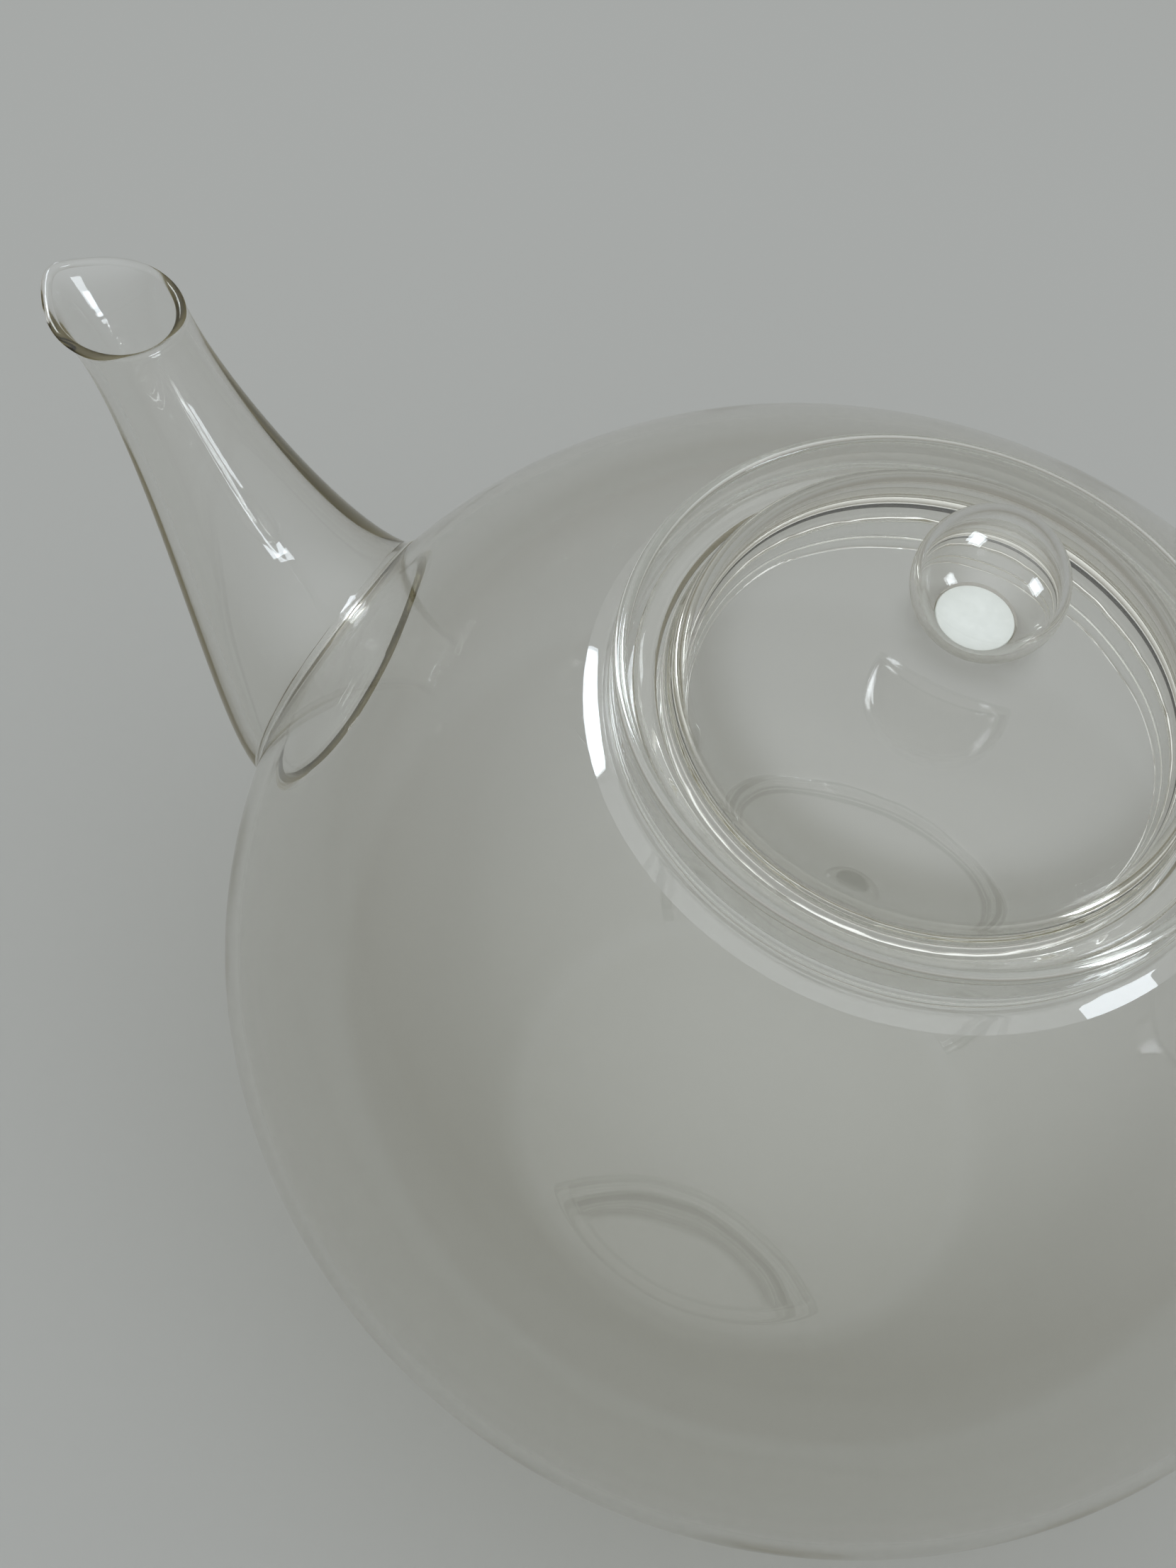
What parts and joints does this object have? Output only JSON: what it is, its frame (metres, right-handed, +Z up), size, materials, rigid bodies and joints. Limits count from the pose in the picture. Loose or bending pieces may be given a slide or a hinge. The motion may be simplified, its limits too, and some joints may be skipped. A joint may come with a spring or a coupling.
{
  "type": "glass teapot",
  "caption": "Clear blown-glass teapot: squat bulb, neck ring, tapering spout, ear handle, lift-off domed lid with skirt and hollow ball knob.",
  "frame": {"origin": "centre of the flat base on the table, on the bulb's upright axis", "axes": "+Z up along the bulb's axis, the spout points along -X and the handle along +X"},
  "size_m": [0.2422, 0.16, 0.1455],
  "materials": {
    "clear_glass": "thin clear blown glass, fire polished",
    "rim_glass": "clear glass seen through its thickness, faint olive",
    "rod_glass": "solid clear glass rod",
    "ground_glass": "finely ground, pale and frosted"
  },
  "bodies": {
    "pot": {"bulb": "clear_glass", "neck_ring": "rim_glass", "spout": "clear_glass", "spout_weld": "rim_glass", "handle": "rod_glass", "handle_top_pad": "rod_glass", "handle_foot_pad": "rod_glass"},
    "lid": {"lid_dome": "clear_glass", "lid_skirt": "rim_glass", "knob_ball": "clear_glass", "knob_disc": "ground_glass"}
  },
  "joints": [
    {"name": "lid_lift", "type": "slide", "parent": "pot", "child": "lid", "axis": [0, 0, 1], "range_m": [0, 0.06]}
  ]
}
